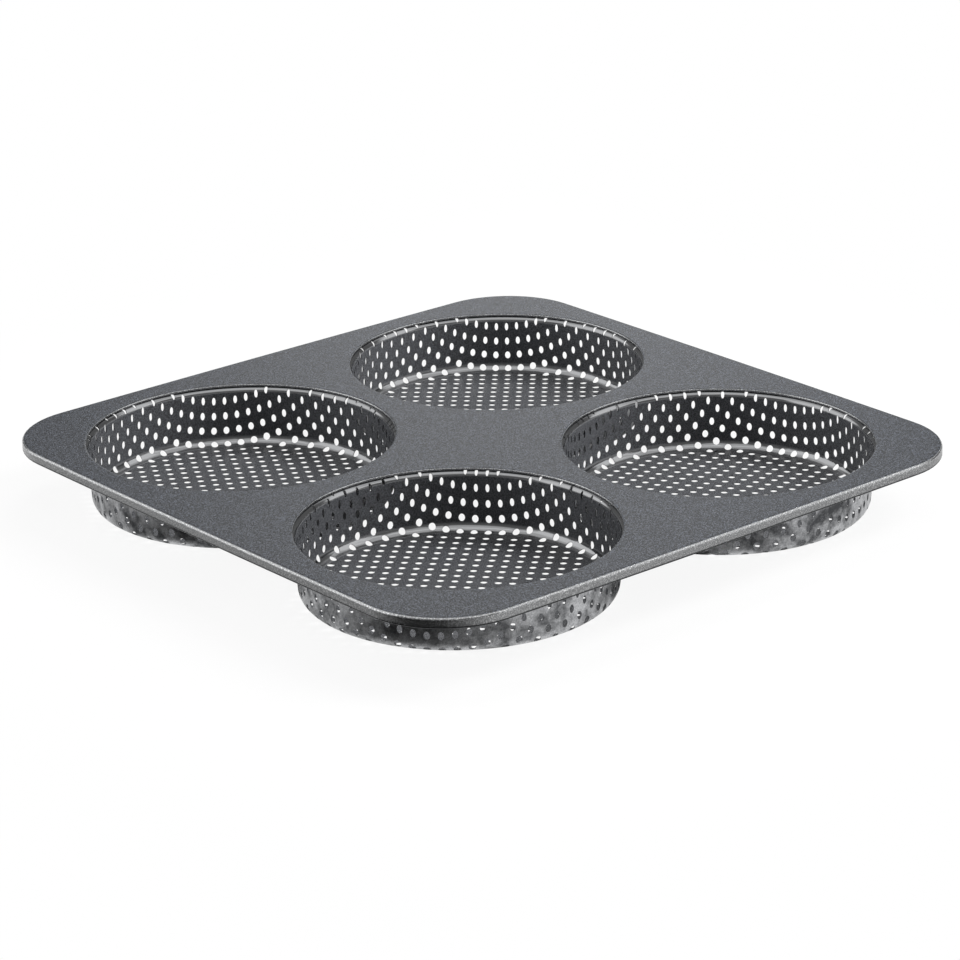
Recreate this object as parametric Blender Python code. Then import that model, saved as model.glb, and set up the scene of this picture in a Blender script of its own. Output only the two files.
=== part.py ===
"""Bun pan for four buns: one pressed frame sheet with a hemmed skirt, and four drawn, perforated cups.

Each cup is punched flat and then drawn, so its holes run up the wall in the pattern that the draw gives them.
A lock seam holds it: the frame's opening is folded down and out into a lip, the cup's flange runs out under
that lip, and the flange's edge hooks up and back over it.

Units are metres, +Z is up, and the origin is on the table under the middle of the pan.
"""

import math

import bmesh
import bpy
from mathutils import Vector

# Openings, with the plate that is left between two of them and outside them
OPENING_RADIUS = 0.0624
WEB_WIDTH = 0.0112
BORDER_WIDTH = 0.0116
CUP_SPACING = 2 * OPENING_RADIUS + WEB_WIDTH
PAN_SIDE = CUP_SPACING + 2 * OPENING_RADIUS + 2 * BORDER_WIDTH

# Frame sheet
FRAME_SHEET = 0.0004
CORNER_RADIUS = 0.0350
SIDE_BOW = 0.0009
EDGE_RADIUS = 0.0012
SKIRT_DROP = 0.0043
HEM_SPACE = 0.0003
HEM_LENGTH = 0.0016

# Lock seam
LIP_WIDTH = 0.0022
SEAM_CLEARANCE = 0.0002
HOOK_RETURN = 0.0014
HOOK_END_CLEARANCE = 0.0003

# Drawn cups, whose foot stands in from the opening above it
CUP_SHEET = 0.0004
CUP_DEPTH = 0.0260
FOOT_STEP_IN = 0.0016
CUP_FLOOR_RADIUS = OPENING_RADIUS - FOOT_STEP_IN
WALL_LEAN = 0.0006
FILLET_RADIUS = 0.0042
SHOULDER_RADIUS = 0.0020

# Perforation of the flat sheet. The real sheet has round holes of 2.9 mm at 5.57 mm, and here one square hole
# stands for a block of them, three by three, so that the open share of the sheet stays the same. At the top of the
# wall it is cut short, and it is left out where less than a share of its half diagonal would lie below the top.
HOLE_PITCH = 0.00557
HOLE_DIAMETER = 0.0029
BLOCK_HOLES = 3
SHORT_HOLE_SHARE = 0.35
HOLE_EDGE_MARGIN = 0.0006
CUTTER_OVERRUN = 0.001

# Where each cup sits, as steps from the pan's middle, and how its punched sheet lay in the press:
# its turn in degrees, and how far its grid lies off the cup's middle.
CUP_STEPS = {
    "cup_front_left": (-1, -1),
    "cup_front_right": (1, -1),
    "cup_rear_left": (-1, 1),
    "cup_rear_right": (1, 1),
}
SHEET_TURN_DEGREES = {
    "cup_front_left": 41.3,
    "cup_front_right": 17.7,
    "cup_rear_left": 61.2,
    "cup_rear_right": 47.4,
}
GRID_OFFSET_SHARES = {
    "cup_front_left": (0.33, -0.49),
    "cup_front_right": (-0.32, 0.39),
    "cup_rear_left": (-0.45, -0.32),
    "cup_rear_right": (-0.30, -0.48),
}

# How finely round stretches are cut into flats
RING_SEGMENTS = 30
CORNER_SEGMENTS = 5
SIDE_SEGMENTS = 4
HEM_SEGMENTS = 2
EDGE_SEGMENTS = 3
FOLD_SEGMENTS = 3
FILLET_SEGMENTS = 2
SHOULDER_SEGMENTS = 2
HOOK_SEGMENTS = 2
HOLE_SIDES = 4

# Corners of the flat sheet closer than this share of its gauge lie one above the other,
# and a face whose normal rises by less than this share of its length stands upright
SAME_PLACE_SHARE = 0.001
UPRIGHT_SHARE = 0.5

SHARP_ANGLE = math.radians(40)

# Dark nonstick coat on steel: how much light its two kinds send back, and its shine
COAT_GREY_SHARES = {"frame_coat": 0.10, "cup_coat": 0.08}
COAT_METALLIC_SHARE = 0.5
COAT_ROUGHNESS_SHARE = 0.4


def clear_scene():
    for obj in list(bpy.data.objects):
        bpy.data.objects.remove(obj, do_unlink=True)


def nonstick(name):
    grey = COAT_GREY_SHARES[name]
    material = bpy.data.materials.new(name)
    material.use_nodes = True
    shader = material.node_tree.nodes["Principled BSDF"]
    shader.inputs["Base Color"].default_value = (grey, grey, grey, 1)
    shader.inputs["Metallic"].default_value = COAT_METALLIC_SHARE
    shader.inputs["Roughness"].default_value = COAT_ROUGHNESS_SHARE
    return material


def arc(centre, radius, start, end, segments):
    """Points of an arc in the section plane, its first and last ones included. Angles are in degrees."""
    angles = [math.radians(start + (end - start) * k / segments) for k in range(segments + 1)]
    return [(centre[0] + radius * math.cos(a), centre[1] + radius * math.sin(a)) for a in angles]


def seam_levels():
    """Heights in the lock seam, from the frame's top face down."""
    levels = {"frame_top": CUP_DEPTH}
    levels["frame_under"] = levels["frame_top"] - FRAME_SHEET
    levels["hook_top"] = levels["frame_under"] - SEAM_CLEARANCE
    levels["hook_under"] = levels["hook_top"] - CUP_SHEET
    levels["lip_top"] = levels["hook_under"] - SEAM_CLEARANCE
    levels["lip_under"] = levels["lip_top"] - FRAME_SHEET
    levels["flange_top"] = levels["lip_under"] - SEAM_CLEARANCE
    levels["flange_under"] = levels["flange_top"] - CUP_SHEET
    return levels


def fold_centre(levels):
    """Middle of the bend at the opening's edge, in the section plane."""
    outer = (levels["frame_top"] - levels["lip_under"]) / 2
    return OPENING_RADIUS + outer, levels["frame_top"] - outer


def lip_end_radius(levels):
    return fold_centre(levels)[0] + LIP_WIDTH


def opening_section(levels):
    """The fold and lip round an opening, from the frame's top face to its underside."""
    centre = fold_centre(levels)
    outer = centre[1] - levels["lip_under"]
    inner = outer - FRAME_SHEET
    end = lip_end_radius(levels)
    section = arc(centre, outer, 90, 270, FOLD_SEGMENTS)
    section += [(end, levels["lip_under"]), (end, levels["lip_top"])]
    return section + arc(centre, inner, 270, 90, FOLD_SEGMENTS - 1)


def skirt_section(levels):
    """The skirt and its hem, as (distance out of the bend's middle line, height), top face to underside."""
    top = levels["frame_top"]
    hem_radius = FRAME_SHEET + HEM_SPACE / 2
    hem_centre = (EDGE_RADIUS - hem_radius, top - SKIRT_DROP + hem_radius)
    hem_top = hem_centre[1] + HEM_LENGTH
    leg_inside = hem_centre[0] - hem_radius
    section = arc((0, top - EDGE_RADIUS), EDGE_RADIUS, 90, 0, EDGE_SEGMENTS)
    section += arc(hem_centre, hem_radius, 0, -180, HEM_SEGMENTS)
    section += [(leg_inside, hem_top), (leg_inside + FRAME_SHEET, hem_top)]
    section += arc(hem_centre, HEM_SPACE / 2, 180, 360, HEM_SEGMENTS - 1)
    return section + arc((0, top - EDGE_RADIUS), EDGE_RADIUS - FRAME_SHEET, 0, 90, EDGE_SEGMENTS - 1)


def plate_outline():
    """Points and outward directions round the plate, along the middle line of its edge bend."""
    half = PAN_SIDE / 2 - EDGE_RADIUS - SIDE_BOW
    radius = CORNER_RADIUS - EDGE_RADIUS
    middle = half - radius
    outline = []
    for quarter in range(4):
        turn = math.radians(90 * quarter)
        along = Vector((-math.sin(turn), math.cos(turn)))
        out = Vector((math.cos(turn), math.sin(turn)))
        for k in range(SIDE_SEGMENTS):
            share = 2 * k / SIDE_SEGMENTS - 1
            outline.append((out * half + along * middle * share, out))
        for k in range(CORNER_SEGMENTS):
            angle = turn + math.radians(90) * k / CORNER_SEGMENTS
            way = Vector((math.cos(angle), math.sin(angle)))
            outline.append(((out + along) * middle + way * radius, way))
    return [(bowed(point, half), way) for point, way in outline]


def bowed(point, half):
    """Each side stands out by SIDE_BOW at its middle, and not at all at its corners."""
    grow = SIDE_BOW / half
    across = 1 - (point.y / half) ** 2
    along = 1 - (point.x / half) ** 2
    return Vector((point.x * (1 + grow * across), point.y * (1 + grow * along)))


def ring_of(bm, places):
    return [bm.verts.new(place) for place in places]


def bridge(bm, rings):
    """Quads between each ring and the next one."""
    for lower, upper in zip(rings, rings[1:]):
        count = len(lower)
        for k in range(count):
            n = (k + 1) % count
            bm.faces.new((lower[k], lower[n], upper[n], upper[k]))


def ring_edges(bm, ring):
    return [bm.edges.get((a, b)) for a, b in zip(ring, ring[1:] + ring[:1])]


def round_ring(centre, radius, height):
    places = []
    for k in range(RING_SEGMENTS):
        angle = 2 * math.pi * k / RING_SEGMENTS
        places.append((centre.x + radius * math.cos(angle), centre.y + radius * math.sin(angle), height))
    return places


def cup_centre(name):
    along, across = CUP_STEPS[name]
    return Vector((along, across)) * (CUP_SPACING / 2)


def finished_piece(name, bm, material):
    """The object of one piece, shaded smooth between its sharp edges."""
    obj = link_mesh(name, bm)
    obj.data.shade_smooth()
    obj.data.set_sharp_from_angle(angle=SHARP_ANGLE)
    obj.data.materials.append(material)
    return obj


def make_frame_sheet(material):
    """The plate, its skirt and the folded lips of its four openings, as one sheet."""
    levels = seam_levels()
    bm = bmesh.new()
    rings = []
    for reach, height in skirt_section(levels):
        rings.append(ring_of(bm, [(*(point + way * reach), height) for point, way in plate_outline()]))
    bridge(bm, rings)
    top_edges = ring_edges(bm, rings[0])
    under_edges = ring_edges(bm, rings[-1])
    for name in CUP_STEPS:
        centre = cup_centre(name)
        rings = [ring_of(bm, round_ring(centre, radius, height)) for radius, height in opening_section(levels)]
        bridge(bm, rings)
        top_edges += ring_edges(bm, rings[0])
        under_edges += ring_edges(bm, rings[-1])
    for edges in (top_edges, under_edges):
        bmesh.ops.triangle_fill(bm, edges=edges, use_beauty=True)
    bmesh.ops.recalc_face_normals(bm, faces=bm.faces)
    return finished_piece("frame_sheet", bm, material)


def cup_path(levels):
    """The middle of the cup's sheet in section, from the edge of its flat floor to the end of its hook."""
    half = CUP_SHEET / 2
    floor = half
    flange = levels["flange_top"] - half
    lean = math.atan2(WALL_LEAN, flange - floor)
    turn = 90 - math.degrees(lean)
    fillet_reach = FILLET_RADIUS * math.tan(math.radians(turn) / 2)
    corner = CUP_FLOOR_RADIUS + half
    path = arc((corner - fillet_reach, floor + FILLET_RADIUS), FILLET_RADIUS, -90, -90 + turn, FILLET_SEGMENTS)
    shoulder_reach = SHOULDER_RADIUS * math.tan(math.radians(turn) / 2)
    shoulder = (corner + WALL_LEAN + shoulder_reach, flange - SHOULDER_RADIUS)
    path += arc(shoulder, SHOULDER_RADIUS, 90 + turn, 90, SHOULDER_SEGMENTS)
    bend_radius = (levels["hook_top"] - levels["flange_under"] - CUP_SHEET) / 2
    bend = (lip_end_radius(levels) + HOOK_END_CLEARANCE, flange + bend_radius)
    path += arc(bend, bend_radius, -90, 90, HOOK_SEGMENTS)
    return path + [(bend[0] - HOOK_RETURN, bend[1] + bend_radius)]


def offset_path(path, distance):
    """The path moved sideways by a distance, with its corners mitred. The floor side is kept level."""
    points = [Vector(p) for p in path]
    steps = [(b - a).normalized() for a, b in zip(points, points[1:])]
    steps = [Vector((1, 0))] + steps + [steps[-1]]
    moved = []
    for point, before, after in zip(points, steps, steps[1:]):
        normal = Vector((-before.y - after.y, before.x + after.x)).normalized()
        square = Vector((-after.y, after.x))
        moved.append(point + normal * (distance / normal.dot(square)))
    return moved


def flat_radii(path):
    """Where each point of the drawn path lay in the flat sheet, whose area and gauge the draw keeps."""
    radii = [path[0][0]]
    for (r0, z0), (r1, z1) in zip(path, path[1:]):
        step = math.hypot(r1 - r0, z1 - z0)
        radii.append(math.sqrt(radii[-1] ** 2 + (r0 + r1) * step))
    return radii


def flat_blank(radii):
    """The round sheet before the draw, with an edge wherever the draw will bend it."""
    bm = bmesh.new()
    origin = Vector((0, 0))
    under = [ring_of(bm, round_ring(origin, radius, 0)) for radius in radii]
    upper = [ring_of(bm, round_ring(origin, radius, CUP_SHEET)) for radius in radii]
    bm.faces.new(under[0])
    bm.faces.new(upper[0])
    bridge(bm, under + upper[::-1])
    bmesh.ops.recalc_face_normals(bm, faces=bm.faces)
    return bm


def hole_places(name, reach):
    """Middles of the punched holes that lie inside a radius of the flat sheet, as its grid has them."""
    pitch = HOLE_PITCH * BLOCK_HOLES
    turn = math.radians(SHEET_TURN_DEGREES[name])
    shift = Vector(GRID_OFFSET_SHARES[name])
    count = int(reach / pitch) + 2
    places = []
    for i in range(-count, count + 1):
        for j in range(-count, count + 1):
            along, across = (Vector((i, j)) + shift) * pitch
            place = Vector((along * math.cos(turn) - across * math.sin(turn),
                            along * math.sin(turn) + across * math.cos(turn)))
            if place.length < reach:
                places.append(place)
    return places


def hole_corners(place, radius, turn, limit):
    """Corners of one punched hole in plan. Those past the limit are pulled in to it."""
    corners = []
    for k in range(HOLE_SIDES):
        angle = turn + 2 * math.pi * k / HOLE_SIDES
        corner = place + Vector((math.cos(angle), math.sin(angle))) * radius
        corners.append(corner * min(1, limit / corner.length))
    return corners


def punch_tool(name, reach):
    """The punches, as one mesh of separate prisms square to their grid and cut short at the top of the wall."""
    width = HOLE_DIAMETER * BLOCK_HOLES
    radius = width / 2 * math.sqrt(2 * math.pi / (HOLE_SIDES * math.sin(2 * math.pi / HOLE_SIDES)))
    turn = math.radians(SHEET_TURN_DEGREES[name] + 180 / HOLE_SIDES)
    limit = reach - HOLE_EDGE_MARGIN
    bm = bmesh.new()
    for place in hole_places(name, limit - radius * SHORT_HOLE_SHARE):
        corners = hole_corners(place, radius, turn, limit)
        rings = [ring_of(bm, [(*corner, height) for corner in corners])
                 for height in (-CUTTER_OVERRUN, CUP_SHEET + CUTTER_OVERRUN)]
        bridge(bm, rings)
        bm.faces.new(rings[0][::-1])
        bm.faces.new(rings[1])
    bmesh.ops.recalc_face_normals(bm, faces=bm.faces)
    return bm


def link_mesh(name, bm):
    """A new object in the scene from a bmesh, which is freed."""
    mesh = bpy.data.meshes.new(name)
    bm.to_mesh(mesh)
    bm.free()
    obj = bpy.data.objects.new(name, mesh)
    bpy.context.scene.collection.objects.link(obj)
    return obj


def punched_sheet(name, radii, reach):
    """The flat sheet with its holes cut, as a new bmesh."""
    blank = link_mesh(name + "_blank", flat_blank(radii))
    tool = link_mesh(name + "_punches", punch_tool(name, reach))
    cut = blank.modifiers.new("punch", "BOOLEAN")
    cut.operation = "DIFFERENCE"
    cut.solver = "EXACT"
    cut.object = tool
    bpy.context.view_layer.update()
    bm = bmesh.new()
    bm.from_object(blank, bpy.context.evaluated_depsgraph_get())
    for helper in (blank, tool):
        bpy.data.objects.remove(helper, do_unlink=True)
    return bm


def upright_pair(face):
    """Two corners of an upright face that lie one above the other and share no edge, or None."""
    near = CUP_SHEET * SAME_PLACE_SHARE
    for a in face.verts:
        joined = [edge.other_vert(a) for edge in a.link_edges]
        for b in face.verts:
            if b is not a and b not in joined and (b.co.xy - a.co.xy).length < near:
                return a, b
    return None


def split_hole_walls(bm):
    """Cuts each hole's side where it crosses a bend, so that it can bend there too."""
    walls = [face for face in bm.faces if abs(face.normal.z) < UPRIGHT_SHARE and len(face.verts) > 4]
    while walls:
        face = walls.pop()
        pair = upright_pair(face)
        if pair:
            part, _ = bmesh.utils.face_split(face, *pair)
            walls += [half for half in (face, part) if len(half.verts) > 4]


def draw(bm, radii, under, upper):
    """Moves every point of the flat sheet to its place in the drawn cup, flat by flat."""
    sector = 2 * math.pi / RING_SEGMENTS
    across_flats = math.cos(sector / 2)
    for vert in bm.verts:
        side = upper if vert.co.z > CUP_SHEET / 2 else under
        middle = (math.floor(math.atan2(vert.co.y, vert.co.x) / sector) + 0.5) * sector
        way = Vector((math.cos(middle), math.sin(middle)))
        square = Vector((-way.y, way.x))
        flat = vert.co.xy.dot(way) / across_flats
        if flat <= radii[0]:
            vert.co.z = side[0].y
            continue
        k = min(max(i for i, radius in enumerate(radii) if radius <= flat), len(radii) - 2)
        share = (flat - radii[k]) / (radii[k + 1] - radii[k])
        place = side[k].lerp(side[k + 1], share)
        shrink = place.x / flat
        plan = way * (place.x * across_flats) + square * (vert.co.xy.dot(square) * shrink)
        vert.co = (*plan, place.y)


def make_cup(name, material):
    """One cup: its sheet is punched flat, drawn, and set under its opening."""
    levels = seam_levels()
    path = cup_path(levels)
    radii = flat_radii(path)
    under = offset_path(path, -CUP_SHEET / 2)
    upper = offset_path(path, CUP_SHEET / 2)
    wall_top = radii[FILLET_SEGMENTS + 1]
    bm = punched_sheet(name, radii, wall_top)
    split_hole_walls(bm)
    bmesh.ops.triangulate(bm, faces=bm.faces)
    draw(bm, radii, under, upper)
    cup = finished_piece(name, bm, material)
    cup.location = (*cup_centre(name), 0)
    return cup


def main():
    clear_scene()
    make_frame_sheet(nonstick("frame_coat"))
    cup_coat = nonstick("cup_coat")
    for name in CUP_STEPS:
        make_cup(name, cup_coat)


main()
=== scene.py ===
"""Bun pan for four buns, dressed: one pressed frame sheet and four drawn cups with all their punched holes.

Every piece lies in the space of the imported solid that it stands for. Units are metres, and +Z is up.
"""

import math

import bmesh
import bpy
import numpy as np
from mathutils import Matrix, Vector


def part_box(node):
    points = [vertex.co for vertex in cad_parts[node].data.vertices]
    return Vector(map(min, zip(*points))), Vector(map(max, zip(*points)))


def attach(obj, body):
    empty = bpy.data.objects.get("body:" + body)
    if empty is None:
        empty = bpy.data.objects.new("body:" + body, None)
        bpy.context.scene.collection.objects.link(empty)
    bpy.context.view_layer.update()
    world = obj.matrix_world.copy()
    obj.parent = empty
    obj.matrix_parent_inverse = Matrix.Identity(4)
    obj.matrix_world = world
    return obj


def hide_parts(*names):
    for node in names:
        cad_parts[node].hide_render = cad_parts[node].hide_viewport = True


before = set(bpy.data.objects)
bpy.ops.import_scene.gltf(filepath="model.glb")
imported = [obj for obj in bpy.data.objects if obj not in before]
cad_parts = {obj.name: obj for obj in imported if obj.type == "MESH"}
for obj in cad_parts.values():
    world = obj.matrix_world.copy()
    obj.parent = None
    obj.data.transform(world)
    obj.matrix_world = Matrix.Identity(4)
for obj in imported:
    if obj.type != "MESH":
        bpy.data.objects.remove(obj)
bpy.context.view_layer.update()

MM = 0.001

# The frame sheet's reach and height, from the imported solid
SHEET_LOW, SHEET_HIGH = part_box("frame_sheet")
PAN_SIDE = SHEET_HIGH.x - SHEET_LOW.x
PLATE_TOP = SHEET_HIGH.z
SKIRT_FOOT = SHEET_LOW.z

# Pressed steel, and how tightly the seam is rolled
GAUGE = 0.4 * MM
SEAM_PLAY = 0.02 * MM

# Plate
CORNER_RADIUS = 35 * MM
SIDE_BOW = 0.9 * MM
EDGE_RADIUS = 1.2 * MM
HEM_SPACE = 0.4 * MM
HEM_LENGTH = 1.6 * MM
SKIRT_WAIST = 0.06 * MM
HEM_BULGE = 0.45 * MM

# Openings and seam
OPENING_RADIUS = 62.4 * MM
LIP_WIDTH = 2.2 * MM
HOOK_RETURN = 1.4 * MM

# How far from the edge bend, and from a lip's fold as a share of its radius, the flat plate is filled in
EDGE_RIM = EDGE_RADIUS / 3
LIP_RIM_SHARE = 0.5

# Cups, measured to the middle of their sheet. The floor's last ring lies just inside the fillet
FOOT_RADIUS = 61.0 * MM
WALL_LEAN = 0.6 * MM
FILLET_RADIUS = 4.2 * MM
SHOULDER_RADIUS = 2.0 * MM
FLOOR_RING_INSET = FILLET_RADIUS / 4

# Share of the drawn sheet's area that the flat sheet had, at the foot and level with the plate,
# and how fast the draw narrows the holes beside the sheet round them, as a power of how far out they lay
DRAW_KEEP_SHARES = (0.885, 1.068)
HOLE_NARROWING = 2.0

# Perforation, how long a punch is in gauges, and the rows that the grid has beyond those that are needed
HOLE_PITCH = 5.57 * MM
HOLE_DIAMETER = 2.9 * MM
HOLE_SIDES = 16
PUNCH_GAUGES = 4
SPARE_ROWS = 3

# How each cup's sheet lay in the press: its turn in degrees, and its grid's place as a share of the pitch
SHEET_TURN_DEGREES = {
    "cup_front_left": 41.31,
    "cup_front_right": 17.69,
    "cup_rear_left": 61.20,
    "cup_rear_right": 47.36,
}
GRID_OFFSET_SHARES = {
    "cup_front_left": (0.33, -0.492),
    "cup_front_right": (-0.324, 0.392),
    "cup_rear_left": (-0.447, -0.323),
    "cup_rear_right": (-0.30, -0.485),
}

# How finely round stretches are cut. A pair is for the outer and the inner face of a bend
RING_SEGMENTS = 128
BEND_STEPS = 24
BEND_RINGS = 6
WALL_RINGS = 5
CORNER_SEGMENTS = 16
SIDE_SEGMENTS = 14
EDGE_SEGMENTS = (10, 6)
HEM_SEGMENTS = (14, 6)
LIP_SEGMENTS = (12, 8)
WAIST_STEPS = 8
SHARP_ANGLE = math.radians(42)

# Which ring of a cup's section is the last on its shoulder, counted back from the end of the hook
SHOULDER_TOP_RING = -3 - BEND_RINGS

# Least radius that a way is worked out from
TINY = 0.001 * MM

# Camera
CAMERA_PLACE = Vector((-0.89251, -1.06260, 0.53669))
CAMERA_YAW = 40.04
CAMERA_PITCH = 20.86
CAMERA_ROLL = -1.077
CAMERA_LENS = 138.03
CAMERA_SENSOR = 36.0
CAMERA_CLIP = (0.05, 50.0)


class Wire:
    """An output of a node. Python's operators on it add the nodes that work out the sum."""

    def __init__(self, tree, node, socket):
        self.tree = tree
        self.node = node
        self.socket = socket

    def out(self, name):
        return Wire(self.tree, self.node, self.node.outputs[name])

    def maths(self, operation, *values):
        return self.tree.add("ShaderNodeMath", {"operation": operation}, dict(enumerate(values)))

    def __add__(self, other):
        return self.maths("ADD", self, other)

    def __radd__(self, other):
        return self.maths("ADD", other, self)

    def __sub__(self, other):
        return self.maths("SUBTRACT", self, other)

    def __rsub__(self, other):
        return self.maths("SUBTRACT", other, self)

    def __mul__(self, other):
        return self.maths("MULTIPLY", self, other)

    def __truediv__(self, other):
        return self.maths("DIVIDE", self, other)

    def __rtruediv__(self, other):
        return self.maths("DIVIDE", other, self)

    def __pow__(self, other):
        return self.maths("POWER", self, other)

    def __gt__(self, other):
        return self.maths("GREATER_THAN", self, other)

    def __abs__(self):
        return self.maths("ABSOLUTE", self)

    def at_least(self, other):
        return self.maths("MAXIMUM", self, other)

    def at_most(self, other):
        return self.maths("MINIMUM", self, other)

    def ramp(self, low, high):
        """0 below low and 1 above high, or the other way round where high is the smaller."""
        names = {"Value": self, "From Min": low, "From Max": high}
        return self.tree.add("ShaderNodeMapRange", {"clamp": True, "interpolation_type": "SMOOTHSTEP"}, names)


class Tree:
    """A node tree, to which one method adds every node."""

    def __init__(self, nodes):
        self.nodes = nodes.nodes
        self.links = nodes.links

    def add(self, kind, settings=None, sockets=None, out=0):
        """Adds a node, sets it up, then sets or links its sockets. Gives the wire of one of its outputs."""
        node = self.nodes.new(kind)
        for name, value in (settings or {}).items():
            setattr(node, name, value)
        for name, value in (sockets or {}).items():
            socket = node.inputs[name]
            if isinstance(value, Wire):
                self.links.new(value.socket, socket)
            else:
                socket.default_value = value
        return Wire(self, node, node.outputs[out] if len(node.outputs) else None)


def grey(value):
    return (value, value, value, 1.0)


# Section of the cups

def bend(centre, radius, start, end, inside):
    """Rows of (radius, height, normal) along a bend. The normal points at its centre where inside is 1."""
    rows = []
    for k in range(BEND_STEPS + 1):
        angle = math.radians(start + (end - start) * k / BEND_STEPS)
        out, up = math.cos(angle), math.sin(angle)
        rows.append((centre[0] + radius * out, centre[1] + radius * up, -inside * out, -inside * up))
    return rows


def bend_rings(rows):
    """Which rows of the bend that comes after these are rings."""
    return [len(rows) + BEND_STEPS * k // BEND_RINGS for k in range(BEND_RINGS + 1)]


def seam_levels():
    """Heights in the rolled seam, from the plate's top face down."""
    levels = {"plate_top": PLATE_TOP}
    levels["plate_under"] = levels["plate_top"] - GAUGE
    levels["hook_top"] = levels["plate_under"] - SEAM_PLAY
    levels["hook_under"] = levels["hook_top"] - GAUGE
    levels["lip_top"] = levels["hook_under"] - SEAM_PLAY
    levels["lip_under"] = levels["lip_top"] - GAUGE
    levels["flange_top"] = levels["lip_under"] - SEAM_PLAY
    levels["flange_under"] = levels["flange_top"] - GAUGE
    return levels


def lip_end_radius(levels):
    return OPENING_RADIUS + (levels["plate_top"] - levels["lip_under"]) / 2 + LIP_WIDTH


def cup_section():
    """The middle of the cup's sheet from the axis to its hook's end, as rows, and which rows are rings."""
    levels = seam_levels()
    half = GAUGE / 2
    flange = levels["flange_top"] - half
    turn = 90 - math.degrees(math.atan2(WALL_LEAN, flange - half))
    reach = math.tan(math.radians(turn) / 2)
    fillet = (FOOT_RADIUS - FILLET_RADIUS * reach, half + FILLET_RADIUS)
    shoulder = (FOOT_RADIUS + WALL_LEAN + SHOULDER_RADIUS * reach, flange - SHOULDER_RADIUS)
    hook_radius = (levels["hook_top"] - levels["flange_under"] - GAUGE) / 2
    hook = (lip_end_radius(levels) + SEAM_PLAY + half, flange + hook_radius)
    rows = [(0, half, 0, 1), (fillet[0] - FLOOR_RING_INSET, half, 0, 1)]
    rings = [1]
    rise = bend(fillet, FILLET_RADIUS, -90, turn - 90, 1)
    rings += bend_rings(rows)
    rows += rise
    fall = bend(shoulder, SHOULDER_RADIUS, 90 + turn, 90, -1)
    for k in range(1, WALL_RINGS):
        share = k / WALL_RINGS
        rings.append(len(rows))
        rows.append(tuple(a + (b - a) * share for a, b in zip(rise[-1], fall[0])))
    rings += bend_rings(rows)
    rows += fall
    rings += bend_rings(rows)
    rows += bend(hook, hook_radius, -90, 90, 1)
    rings.append(len(rows))
    rows.append((hook[0] - HOOK_RETURN, hook[1] + hook_radius, 0, -1))
    return np.array(rows), rings


def flat_radii(rows):
    """Where each row lay in the flat sheet, which the draw stretches a little."""
    radii = [0.0]
    foot, top = DRAW_KEEP_SHARES
    for (r0, z0), (r1, z1) in zip(rows[:, :2], rows[1:, :2]):
        drawn = foot + (top - foot) * (z0 + z1) / 2 / PLATE_TOP
        keep = 1.0 if z1 == z0 and r0 < FOOT_RADIUS - FILLET_RADIUS else drawn
        radii.append(math.sqrt(radii[-1] ** 2 + keep * (r0 + r1) * math.hypot(r1 - r0, z1 - z0)))
    return np.array(radii)


# Meshes

def ring_of(bm, places):
    return [bm.verts.new(place) for place in places]


def bridge(bm, rings):
    for lower, upper in zip(rings, rings[1:]):
        for k in range(len(lower)):
            n = (k + 1) % len(lower)
            bm.faces.new((lower[k], lower[n], upper[n], upper[k]))


def ring_edges(bm, ring):
    return [bm.edges.get((a, b)) for a, b in zip(ring, ring[1:] + ring[:1])]


def round_ring(centre, radius, height):
    angles = [2 * math.pi * k / RING_SEGMENTS for k in range(RING_SEGMENTS)]
    return [(centre.x + radius * math.cos(a), centre.y + radius * math.sin(a), height) for a in angles]


def new_object(name, mesh):
    obj = bpy.data.objects.new(name, mesh)
    bpy.context.scene.collection.objects.link(obj)
    return obj


def mesh_from(name, bm):
    mesh = bpy.data.meshes.new(name)
    bm.to_mesh(mesh)
    bm.free()
    return mesh


def shade(mesh):
    mesh.shade_smooth()
    mesh.set_sharp_from_angle(angle=SHARP_ANGLE)


def blank_mesh(name, radii):
    """The round flat sheet of a cup, with an edge wherever the draw bends it."""
    bm = bmesh.new()
    middle = Vector((0, 0))
    under = [ring_of(bm, round_ring(middle, radius, 0)) for radius in radii]
    upper = [ring_of(bm, round_ring(middle, radius, GAUGE)) for radius in radii]
    bm.faces.new(under[0])
    bm.faces.new(upper[0])
    bridge(bm, under + upper[::-1])
    bmesh.ops.recalc_face_normals(bm, faces=bm.faces)
    return mesh_from(name, bm)


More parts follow.
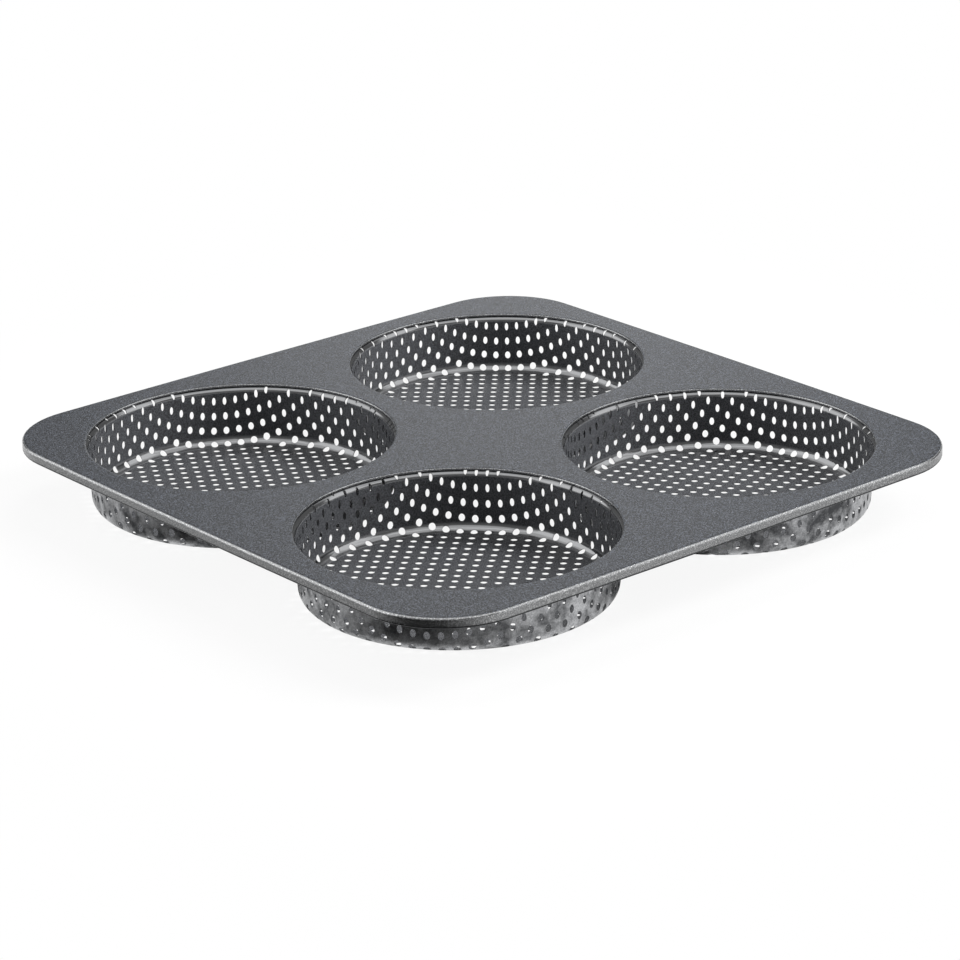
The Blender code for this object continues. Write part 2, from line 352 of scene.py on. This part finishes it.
def punching_tree(material):
    """Geometry nodes that punch a square grid of round holes through a sheet and cut it into triangles."""
    group = bpy.data.node_groups.new("punching", "GeometryNodeTree")
    face = group.interface
    face.new_socket("Sheet", in_out="INPUT", socket_type="NodeSocketGeometry")
    for name in ("Pitch", "Hole radius", "Gauge", "Turn", "Offset along", "Offset across", "Reach",
                 "Foot radius", "Narrowing"):
        face.new_socket(name, in_out="INPUT", socket_type="NodeSocketFloat")
    for name in ("Rows", "Hole sides"):
        face.new_socket(name, in_out="INPUT", socket_type="NodeSocketInt")
    face.new_socket("Sheet", in_out="OUTPUT", socket_type="NodeSocketGeometry")
    tree = Tree(group)
    given = tree.add("NodeGroupInput")
    size = (given.out("Rows") - 1) * given.out("Pitch")
    grid = tree.add("GeometryNodeMeshGrid", None, {
        "Size X": size, "Size Y": size, "Vertices X": given.out("Rows"), "Vertices Y": given.out("Rows")})
    shift = tree.add("ShaderNodeCombineXYZ", None, {
        "X": given.out("Offset along") * given.out("Pitch"),
        "Y": given.out("Offset across") * given.out("Pitch")})
    shifted = tree.add("GeometryNodeTransform", None, {"Geometry": grid, "Translation": shift})
    turn = tree.add("ShaderNodeCombineXYZ", None, {"Z": given.out("Turn")})
    turned = tree.add("GeometryNodeTransform", None, {"Geometry": shifted, "Rotation": turn})
    place = tree.add("GeometryNodeInputPosition")
    length = tree.add("ShaderNodeVectorMath", {"operation": "LENGTH"}, {0: place}, "Value")
    far = tree.add("FunctionNodeCompare", {"operation": "GREATER_THAN"}, {
        "A": length, "B": given.out("Reach")})
    kept = tree.add("GeometryNodeDeleteGeometry", {"domain": "POINT"}, {"Geometry": turned, "Selection": far})
    punch = tree.add("GeometryNodeMeshCylinder", None, {
        "Vertices": given.out("Hole sides"), "Radius": given.out("Hole radius"),
        "Depth": given.out("Gauge") * PUNCH_GAUGES})
    parts = tree.add("ShaderNodeSeparateXYZ", None, {0: place})
    way = tree.add("ShaderNodeMath", {"operation": "ARCTAN2"}, {0: parts.out("Y"), 1: parts.out("X")})
    spin = tree.add("ShaderNodeCombineXYZ", None, {"Z": way})
    squeeze = (length / given.out("Foot radius")).at_least(1.0) ** given.out("Narrowing")
    scale = tree.add("ShaderNodeCombineXYZ", None, {"X": 1.0, "Y": 1 / squeeze, "Z": 1.0})
    punches = tree.add("GeometryNodeInstanceOnPoints", None, {
        "Points": kept, "Instance": punch, "Rotation": spin, "Scale": scale})
    solid = tree.add("GeometryNodeRealizeInstances", None, {"Geometry": punches})
    cut = tree.add("GeometryNodeMeshBoolean", {"operation": "DIFFERENCE", "solver": "MANIFOLD"}, {
        "Mesh 1": given.out("Sheet"), "Mesh 2": solid})
    triangles = tree.add("GeometryNodeTriangulate", None, {"Mesh": cut})
    whole = tree.add("GeometryNodeRealizeInstances", None, {"Geometry": triangles})
    coated = tree.add("GeometryNodeSetMaterial", None, {"Geometry": whole, "Material": material})
    tree.add("NodeGroupOutput", None, {"Sheet": coated})
    return group


def set_inputs(modifier, values):
    """Sets a modifier's inputs by their names, through the identifiers of their sockets."""
    for item in modifier.node_group.interface.items_tree:
        if item.in_out == "INPUT" and item.name in values:
            modifier[item.identifier] = values[item.name]


def baked(obj):
    """A plain mesh of what the object's modifiers make of it. The object is deleted."""
    graph = bpy.context.evaluated_depsgraph_get()
    mesh = bpy.data.meshes.new_from_object(obj.evaluated_get(graph), depsgraph=graph)
    bpy.data.objects.remove(obj, do_unlink=True)
    return mesh


def draw(mesh, rows, radii):
    """Moves every point of the flat sheet to its place in the drawn cup."""
    places = np.empty(len(mesh.vertices) * 3)
    mesh.vertices.foreach_get("co", places)
    places = places.reshape(-1, 3)
    flat = np.hypot(places[:, 0], places[:, 1])
    way = places[:, :2] / np.maximum(flat, TINY)[:, None]
    radius, height, out, up = (np.interp(flat, radii, rows[:, k]) for k in range(4))
    length = np.hypot(out, up)
    off = (places[:, 2] - GAUGE / 2) / length
    reach = radius + out * off
    places[:, :2] = way * reach[:, None]
    places[:, 2] = height + up * off
    mesh.vertices.foreach_set("co", places.ravel())
    mesh.update()


def make_cup(name, tree, rows, rings, radii):
    """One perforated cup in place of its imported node."""
    low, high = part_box(name)
    centre = (low + high) / 2
    sheet = new_object(name + "_sheet", blank_mesh(name + "_sheet", radii[rings]))
    punch = sheet.modifiers.new("punching", "NODES")
    punch.node_group = tree
    along, across = GRID_OFFSET_SHARES[name]
    reach = radii[rings[SHOULDER_TOP_RING]]
    set_inputs(punch, {
        "Pitch": HOLE_PITCH, "Hole radius": HOLE_DIAMETER / 2, "Gauge": GAUGE,
        "Turn": math.radians(SHEET_TURN_DEGREES[name]), "Offset along": along, "Offset across": across,
        "Reach": reach, "Foot radius": FOOT_RADIUS, "Narrowing": HOLE_NARROWING,
        "Rows": 2 * math.ceil(reach / HOLE_PITCH) + SPARE_ROWS, "Hole sides": HOLE_SIDES,
    })
    mesh = baked(sheet)
    draw(mesh, rows, radii)
    mesh.transform(Matrix.Translation((centre.x, centre.y, 0)))
    shade(mesh)
    cup = new_object(name.replace("cup_", "perforated_cup_"), mesh)
    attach(cup, "root")
    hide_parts(name)


def skirt_section():
    """The skirt and its hem, as (distance out of the bend's middle line, height), top face to underside."""
    hem_radius = GAUGE + HEM_SPACE / 2
    hem = (EDGE_RADIUS - hem_radius, SKIRT_FOOT + hem_radius)
    hem_top = hem[1] + HEM_LENGTH
    leg = hem[0] - hem_radius
    middle = PLATE_TOP - EDGE_RADIUS
    waist = drawn_in(middle, hem[1] + HEM_BULGE) + drawn_in(hem[1], hem[1] + HEM_BULGE)[::-1]
    section = [(-EDGE_RIM, PLATE_TOP)]
    section += arc((0, middle), EDGE_RADIUS, 90, 0, EDGE_SEGMENTS[0])
    section += [(EDGE_RADIUS - depth, height) for depth, height in waist]
    section += arc(hem, hem_radius, 0, -180, HEM_SEGMENTS[0])
    section += [(leg, hem_top), (leg + GAUGE, hem_top)]
    section += arc(hem, HEM_SPACE / 2, 180, 360, HEM_SEGMENTS[1])
    section += [(EDGE_RADIUS - GAUGE - depth, height) for depth, height in waist[::-1]]
    section += arc((0, middle), EDGE_RADIUS - GAUGE, 0, 90, EDGE_SEGMENTS[1])
    return section + [(-EDGE_RIM, PLATE_TOP - GAUGE)]


def drawn_in(outer, inner):
    """How deep the skirt is drawn in, from none at the outer height to SKIRT_WAIST at the inner one."""
    shares = [k / WAIST_STEPS for k in range(1, WAIST_STEPS)]
    return [(SKIRT_WAIST * (1 - math.cos(math.pi * s)) / 2, outer + (inner - outer) * s) for s in shares]


def arc(centre, radius, start, end, segments):
    angles = [math.radians(start + (end - start) * k / segments) for k in range(segments + 1)]
    return [(centre[0] + radius * math.cos(a), centre[1] + radius * math.sin(a)) for a in angles]


def opening_section():
    """The fold and lip round an opening, from the plate's top face to its underside."""
    levels = seam_levels()
    outer = (levels["plate_top"] - levels["lip_under"]) / 2
    centre = (OPENING_RADIUS + outer, levels["plate_top"] - outer)
    end = lip_end_radius(levels)
    rim = centre[0] + outer * LIP_RIM_SHARE
    section = [(rim, levels["plate_top"])]
    section += arc(centre, outer, 90, 270, LIP_SEGMENTS[0])
    section += [(end, levels["lip_under"]), (end, levels["lip_top"])]
    section += arc(centre, outer - GAUGE, 270, 90, LIP_SEGMENTS[1])
    return section + [(rim, levels["plate_under"])]


def plate_outline():
    """Points and outward ways round the plate, along the middle line of its edge bend."""
    half = PAN_SIDE / 2 - EDGE_RADIUS - SIDE_BOW
    radius = CORNER_RADIUS - EDGE_RADIUS
    middle = half - radius
    outline = []
    for quarter in range(4):
        turn = math.radians(90 * quarter)
        along = Vector((-math.sin(turn), math.cos(turn)))
        out = Vector((math.cos(turn), math.sin(turn)))
        for k in range(SIDE_SEGMENTS):
            outline.append((out * half + along * middle * (2 * k / SIDE_SEGMENTS - 1), out))
        for k in range(CORNER_SEGMENTS):
            angle = turn + math.radians(90) * k / CORNER_SEGMENTS
            way = Vector((math.cos(angle), math.sin(angle)))
            outline.append(((out + along) * middle + way * radius, way))
    return [(bowed(point, half), way) for point, way in outline]


def bowed(point, half):
    """Each side stands out by SIDE_BOW at its middle, and not at all at its corners."""
    grow = SIDE_BOW / half
    across = 1 - (point.y / half) ** 2
    along = 1 - (point.x / half) ** 2
    return Vector((point.x * (1 + grow * across), point.y * (1 + grow * along)))


def make_frame_sheet(material):
    """The plate with its hemmed skirt and the folded lips of its openings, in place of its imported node."""
    bm = bmesh.new()
    outline = plate_outline()
    rings = [ring_of(bm, [(*(p + way * reach), z) for p, way in outline]) for reach, z in skirt_section()]
    bridge(bm, rings)
    top_edges = ring_edges(bm, rings[0])
    under_edges = ring_edges(bm, rings[-1])
    for name in SHEET_TURN_DEGREES:
        low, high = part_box(name)
        centre = (low + high) / 2
        rings = [ring_of(bm, round_ring(centre, radius, height)) for radius, height in opening_section()]
        bridge(bm, rings)
        top_edges += ring_edges(bm, rings[0])
        under_edges += ring_edges(bm, rings[-1])
    for edges in (top_edges, under_edges):
        bmesh.ops.triangle_fill(bm, edges=edges, use_beauty=True)
    bmesh.ops.recalc_face_normals(bm, faces=bm.faces)
    mesh = mesh_from("hemmed_frame_sheet", bm)
    mesh.materials.append(material)
    shade(mesh)
    sheet = new_object("hemmed_frame_sheet", mesh)
    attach(sheet, "root")
    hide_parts("frame_sheet")


# Materials

PLATE_DARK = (0.022, 0.024, 0.027, 1)
PLATE_FLECK = (0.088, 0.098, 0.120, 1)
CUP_DARK = (0.046, 0.047, 0.051, 1)
CUP_FLECK = (0.102, 0.106, 0.115, 1)
# The edge's painted light: a silver painted highlight on the folds, a lighter painted sheen on the skirt, and
# a dark painted shade along the hem's foot
FOLD_PAINTED_HIGHLIGHT = (0.92, 0.93, 0.94, 1)
SKIRT_PAINTED_SHEEN = (0.53, 0.535, 0.54, 1)
FOOT_PAINTED_SHADE = (0.02, 0.021, 0.022, 1)
# A painted highlight along the inside bends at the cups' foot and shoulder
BEND_PAINTED_HIGHLIGHT = (0.45, 0.455, 0.465, 1)
CLOUD_DARK = (0.075, 0.078, 0.083, 1)
CLOUD_LIGHT = (0.80, 0.81, 0.83, 1)
COAT_IOR = 1.6
PLATE_ROUGHNESS = 0.24
CUP_ROUGHNESS = 0.20
BEND_ROUGHNESS = 0.12
OUTSIDE_ROUGHNESS = 0.30
FOLD_SMOOTHING = 0.04
COAT_GRAIN = 0.05 * MM
GRAIN_STRENGTH = 0.5

# The fleck and the clouds, as noise: its scale, detail and roughness, and between which of its values they
# come in. Where no fleck is, the fold's painted highlight and the clouds still cover the given share.
FLECK_NOISE = (2100.0, 1.0, 0.5)
CLOUD_NOISE = (90.0, 6.0, 0.72)
PLATE_FLECK_LIMITS = (0.46, 0.66)
CUP_FLECK_LIMITS = (0.38, 0.62)
CLOUD_LIMITS = (0.32, 0.68)
FOLD_COVER = 0.5
CLOUD_COVER = 0.7

# Between which depths under the plate's top face the frame's coat turns silvery, a painted highlight on the
# folded edges, and then duller, a painted sheen on the skirt; between which heights over the skirt's foot a
# painted shade along the hem's foot ends; and how far a face looks down where the coat is duller too
FOLD_DEPTHS = (0.06 * MM, 0.3 * MM)
SKIRT_DEPTHS = (0.8 * MM, 1.4 * MM)
FOOT_SHADE_HEIGHTS = (0.55 * MM, 0.95 * MM)
UNDERSIDE_TILTS = (0.0, -0.5)

# Between which bounds a face of a cup counts as outside, between which shares of the fillet's radius, from
# the wall in and from the floor up, a painted highlight lies over the foot, and between which depths under
# the plate's top face a painted highlight lies over the shoulder
OUTSIDE_TILTS = (0.0, 0.4)
FILLET_HIGHLIGHT_SHARES = (0.95, 0.6)
SHOULDER_HIGHLIGHT_DEPTHS = (3.4 * MM, 2.6 * MM)


def coat_shader(name):
    material = bpy.data.materials.new(name)
    material.use_nodes = True
    tree = Tree(material.node_tree)
    shader = material.node_tree.nodes["Principled BSDF"]
    shader.inputs["IOR"].default_value = COAT_IOR
    place = tree.add("ShaderNodeTexCoord", out="Object")
    return material, tree, shader, place


def noise(tree, place, kind, limits):
    """Noise of a kind, 0 below the lower of its limits and 1 above the upper one."""
    scale, detail, rough = kind
    return tree.add("ShaderNodeTexNoise", None, {
        "Vector": place, "Scale": scale, "Detail": detail, "Roughness": rough}).ramp(*limits)


def blend(tree, factor, low, high):
    """The mix of two colours. A mix node's sockets share their names, so its colours go by number."""
    return tree.add("ShaderNodeMix", {"data_type": "RGBA"}, {"Factor": factor, 6: low, 7: high}, 2)


def finish_coat(tree, shader, tone, metal, roughness, height):
    """Links up a coat's colour, how much it shines like bare metal, its gloss and its uneven surface."""
    bump = tree.add("ShaderNodeBump", None, {
        "Height": height, "Strength": GRAIN_STRENGTH, "Distance": COAT_GRAIN}, "Normal")
    for name, wire in (("Base Color", tone), ("Metallic", metal), ("Roughness", roughness), ("Normal", bump)):
        tree.links.new(wire.socket, shader.inputs[name])


def frame_coat():
    """Satin dark grey nonstick with a fine fleck; painted highlight on the folds, sheen on the skirt, shade
    at the foot.
    """
    material, tree, shader, place = coat_shader("frame_coat")
    fleck = noise(tree, place, FLECK_NOISE, PLATE_FLECK_LIMITS)
    height = tree.add("ShaderNodeSeparateXYZ", None, {0: place}).out("Z")
    facing = tree.add("ShaderNodeTexCoord", out="Normal")
    upwards = tree.add("ShaderNodeSeparateXYZ", None, {0: facing}).out("Z")
    # The folds get a painted highlight, the skirt a duller painted sheen, and the hem's foot a painted shade
    fold = height.ramp(*(PLATE_TOP - depth for depth in FOLD_DEPTHS))
    above_foot_shade = height.ramp(*(SKIRT_FOOT + over for over in FOOT_SHADE_HEIGHTS))
    below = height.ramp(*(PLATE_TOP - depth for depth in SKIRT_DEPTHS))
    below = below.at_least(upwards.ramp(*UNDERSIDE_TILTS))
    plain = blend(tree, fleck, PLATE_DARK, PLATE_FLECK)
    silver = blend(tree, below, FOLD_PAINTED_HIGHLIGHT, SKIRT_PAINTED_SHEEN)
    skirt = blend(tree, above_foot_shade, FOOT_PAINTED_SHADE, silver)
    tone = blend(tree, fold * (FOLD_COVER + fleck * (1 - FOLD_COVER)), plain, skirt)
    finish_coat(tree, shader, tone, fold, PLATE_ROUGHNESS - fold * FOLD_SMOOTHING, fleck)
    return material


def cup_faces(tree, place):
    """1 on the outer face of a cup, and 1 where its inner face is bent at the foot or the shoulder and gets a
    painted highlight.
    """
    normal = tree.add("ShaderNodeSeparateXYZ", None, {0: tree.add("ShaderNodeTexCoord", out="Normal")})
    spot = tree.add("ShaderNodeSeparateXYZ", None, {0: place})
    height = spot.out("Z")
    # The cups lie alike in the four quarters, so the signs of a place tell the middle of its cup
    low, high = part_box("cup_rear_right")
    middle = ((low + high) / 2).x
    facing = 0
    square = 0
    for name in ("X", "Y"):
        side = tree.add("ShaderNodeMath", {"operation": "SIGN"}, {0: spot.out(name)})
        across = spot.out(name) - side * middle
        facing = facing + across * normal.out(name)
        square = square + across * across
    outside = (facing / FOOT_RADIUS).at_least(0 - normal.out("Z")).ramp(*OUTSIDE_TILTS)
    reach = square ** 0.5
    fillet_highlight_reach = [FILLET_RADIUS * share for share in FILLET_HIGHLIGHT_SHARES]
    foot = reach.ramp(*(FOOT_RADIUS - depth for depth in fillet_highlight_reach)) * height.ramp(*fillet_highlight_reach)
    shoulder = height.ramp(*(PLATE_TOP - depth for depth in SHOULDER_HIGHLIGHT_DEPTHS))
    return outside, foot.at_least(shoulder) * (1 - outside)


def cup_coat():
    """A glossier coat with a painted highlight over the bends, and silvery and cloudy outside where the sheet
    was drawn.
    """
    material, tree, shader, place = coat_shader("cup_coat")
    fleck = noise(tree, place, FLECK_NOISE, CUP_FLECK_LIMITS)
    cloud = noise(tree, place, CLOUD_NOISE, CLOUD_LIMITS)
    outside, bent = cup_faces(tree, place)
    plain = blend(tree, fleck, CUP_DARK, CUP_FLECK)
    # The inside bends at the foot and shoulder get the painted highlight
    inside = blend(tree, bent, plain, BEND_PAINTED_HIGHLIGHT)
    silver = blend(tree, cloud * (CLOUD_COVER + fleck * (1 - CLOUD_COVER)), CLOUD_DARK, CLOUD_LIGHT)
    tone = blend(tree, outside, inside, silver)
    roughness = CUP_ROUGHNESS + outside * (OUTSIDE_ROUGHNESS - CUP_ROUGHNESS)
    roughness = roughness + bent * (BEND_ROUGHNESS - CUP_ROUGHNESS)
    finish_coat(tree, shader, tone, outside.at_least(bent), roughness, fleck * (1 - bent))
    return material


# Stage

FLOOR_REACH = 6.0
FLOOR_GAP = 0.05 * MM
FLOOR_GREY = 0.8
BACKDROP_WHITE = 1.0
ROOM_LIGHT = 0.05

# How much of the floor's shadow is seen near the pan, and between which distances from its middle it ends
SHADOW_SHARE = 0.09
SHADOW_ENDS = (0.32, 0.17)

# What follows, up to the strip, only the coat's reflections show. Below the skyline the room is dark on
# one side, left of the camera: the way to that side, how light the room is across from that way, how much
# darker it gets along it, and the least and the most light there
SKYLINE = (-0.05, 0.05)
DARK_WAY = (-0.940, -0.342, 0)
DARK_SIDE = 0.70
DARK_FALL = 0.78
LOW_ROOM_GREYS = (0.03, 0.72)

# Above the skyline the room is grey with one white patch beyond the pan: the way to the patch, the way
# across it, how far across and how high up it fades, and the grey round it
PATCH_WAY = (0.656, 0.755, 0)
PATCH_ACROSS = (0.755, -0.656, 0)
PATCH_HALF_WIDTHS = (0.15, 0.04)
PATCH_TOPS = (0.40, 0.31)
ROOM_GREY = 0.15

# High up the room is light all round, so that folds and bends catch light from every side:
# the heights between which it fades in, and how light it gets
CEILING_STARTS = (0.50, 0.70)
CEILING_GREY = 0.6

# The softboxes as the coat mirrors them, white and no brighter, and the left one wider than it is, so that
# the folded edge catches it: the way to each, and between which cosines to that way it fades in. The strip
# overhead is given by the way across its width, how far across it fades, and the heights between which
# its ends fade in, which makes it longer there than the lamp is
MIRRORED_SOFTBOXES = (
    ((-0.669, 0.669, 0.331), (0.800, 0.880)),
    ((0.708, -0.592, 0.385), (0.930, 0.970)),
    ((0.690, -0.299, 0.659), (0.965, 0.985)),
    ((0.389, 0.428, 0.816), (0.965, 0.985)),
)
STRIP_ACROSS = (0.600, 0.715, 0.360)
STRIP_HALF_WIDTHS = (0.12, 0.07)
STRIP_ENDS = (0.45, 0.60)

# The floor between the cups, which lies in the pan's own shadow where the coat mirrors it: between which
# distances from the pan's middle lines it ends. From the pan's edges it fades in over the smaller one
GAP_REACH = (24 * MM, 34 * MM)


def light_path(tree):
    """1 for what the camera sees directly or through something, and 1 for what it sees mirrored."""
    path = tree.add("ShaderNodeLightPath")
    return path.out("Is Camera Ray").at_least(path.out("Is Transmission Ray")), path.out("Is Glossy Ray")


def make_floor():
    """A plain white floor that stays white to the eye but for the object's soft shadow."""
    bpy.ops.mesh.primitive_plane_add(size=2 * FLOOR_REACH, location=(0, 0, -FLOOR_GAP))
    floor = bpy.context.object
    floor.name = "studio_floor"
    material = bpy.data.materials.new("studio_floor")
    material.use_nodes = True
    tree = Tree(material.node_tree)
    tree.nodes.remove(tree.nodes["Principled BSDF"])
    direct, mirrored = light_path(tree)
    matt = tree.add("ShaderNodeBsdfDiffuse", None, {"Color": grey(FLOOR_GREY)})
    glow = tree.add("ShaderNodeEmission", None, {"Color": grey(1.0), "Strength": BACKDROP_WHITE})
    clear = tree.add("ShaderNodeBsdfTransparent")
    spot = tree.add("ShaderNodeSeparateXYZ", None, {0: tree.add("ShaderNodeTexCoord", out="Object")})
    along, across = (abs(spot.out(name)) for name in ("X", "Y"))
    near = along.at_least(across).ramp(*SHADOW_ENDS)
    seen = tree.add("ShaderNodeMixShader", None, {0: direct * (1 - near * SHADOW_SHARE), 1: matt, 2: glow})
    inside = along.at_least(across).ramp(PAN_SIDE / 2, PAN_SIDE / 2 - GAP_REACH[0])
    shaded = inside * along.at_most(across).ramp(GAP_REACH[1], GAP_REACH[0])
    mixed = tree.add("ShaderNodeMixShader", None, {0: mirrored * (1 - shaded), 1: seen, 2: clear})
    tree.links.new(mixed.socket, tree.nodes["Material Output"].inputs["Surface"])
    floor.data.materials.append(material)


def pointing(tree, way, axis):
    """How far a way points along an axis."""
    return tree.add("ShaderNodeVectorMath", {"operation": "DOT_PRODUCT"}, {0: way, 1: axis}, "Value")


def make_world():
    """White to the eye, a plain soft light on the object, and a room with bright places to be mirrored."""
    world = bpy.data.worlds.new("studio")
    bpy.context.scene.world = world
    world.use_nodes = True
    tree = Tree(world.node_tree)
    direct, mirrored = light_path(tree)
    way = tree.add("ShaderNodeTexCoord", out="Generated")
    dark, ahead, across, strip = (pointing(tree, way, axis) for axis in (
        DARK_WAY, PATCH_WAY, PATCH_ACROSS, STRIP_ACROSS))
    height = tree.add("ShaderNodeSeparateXYZ", None, {0: way}).out("Z")
    least, most = LOW_ROOM_GREYS
    below = (DARK_SIDE - dark * DARK_FALL).at_least(least).at_most(most)
    patch = abs(across).ramp(*PATCH_HALF_WIDTHS) * height.ramp(*PATCH_TOPS) * (ahead > 0)
    bright = abs(strip).ramp(*STRIP_HALF_WIDTHS) * height.ramp(*STRIP_ENDS)
    bright = bright.at_least(height.ramp(*CEILING_STARTS) * CEILING_GREY)
    for axis, shares in MIRRORED_SOFTBOXES:
        bright = bright.at_least(pointing(tree, way, axis).ramp(*shares))
    above = ROOM_GREY + patch.at_least(bright) * (BACKDROP_WHITE - ROOM_GREY)
    sky = height.ramp(*SKYLINE)
    white = below + sky * (above - below)
    strength = ROOM_LIGHT + direct * (BACKDROP_WHITE - ROOM_LIGHT) + mirrored * (white - ROOM_LIGHT)
    background = tree.nodes["Background"]
    background.inputs["Color"].default_value = grey(1.0)
    tree.links.new(strength.socket, background.inputs["Strength"])


# Each softbox: its place, its width and height, and its power in watts
SOFTBOXES = {
    "left_softbox": ((-0.85, 0.85, 0.42), (0.7, 0.7), 10.0),
    "right_softbox": ((0.92, -0.77, 0.50), (0.8, 0.8), 12.0),
    "high_right_softbox": ((0.90, -0.39, 0.86), (0.5, 0.5), 14.0),
    "overhead_softbox": ((-0.32, -0.38, 1.30), (1.3, 0.2), 4.0),
    "far_softbox": ((0.50, 0.55, 1.05), (0.5, 0.5), 7.5),
}
SOFTBOX_AIM = Vector((0, 0, 0.01))


def make_softboxes():
    """They light the coat without glaring in it. The room that the coat mirrors shows them instead."""
    for name, (place, size, power) in SOFTBOXES.items():
        light = bpy.data.lights.new(name, "AREA")
        light.shape = "RECTANGLE"
        light.size, light.size_y = size
        light.energy = power
        lamp = new_object(name, light)
        lamp.location = place
        lamp.rotation_euler = (SOFTBOX_AIM - Vector(place)).to_track_quat("-Z", "Y").to_euler()
        lamp.visible_glossy = False


def make_camera():
    """The photograph's viewpoint."""
    data = bpy.data.cameras.new("camera")
    data.lens = CAMERA_LENS
    data.sensor_width = CAMERA_SENSOR
    data.clip_start, data.clip_end = CAMERA_CLIP
    camera = new_object("camera", data)
    turn = Matrix.Rotation(math.radians(-CAMERA_YAW), 4, "Z")
    turn @= Matrix.Rotation(math.radians(90 - CAMERA_PITCH), 4, "X")
    turn @= Matrix.Rotation(math.radians(CAMERA_ROLL), 4, "Z")
    camera.matrix_world = Matrix.Translation(CAMERA_PLACE) @ turn
    bpy.context.scene.camera = camera


bpy.context.scene.view_settings.view_transform = "Standard"
make_camera()
make_world()
make_floor()
make_softboxes()
make_frame_sheet(frame_coat())
section_rows, section_rings = cup_section()
sheet_radii = flat_radii(section_rows)
punching = punching_tree(cup_coat())
for cup_name in SHEET_TURN_DEGREES:
    make_cup(cup_name, punching, section_rows, section_rings, sheet_radii)
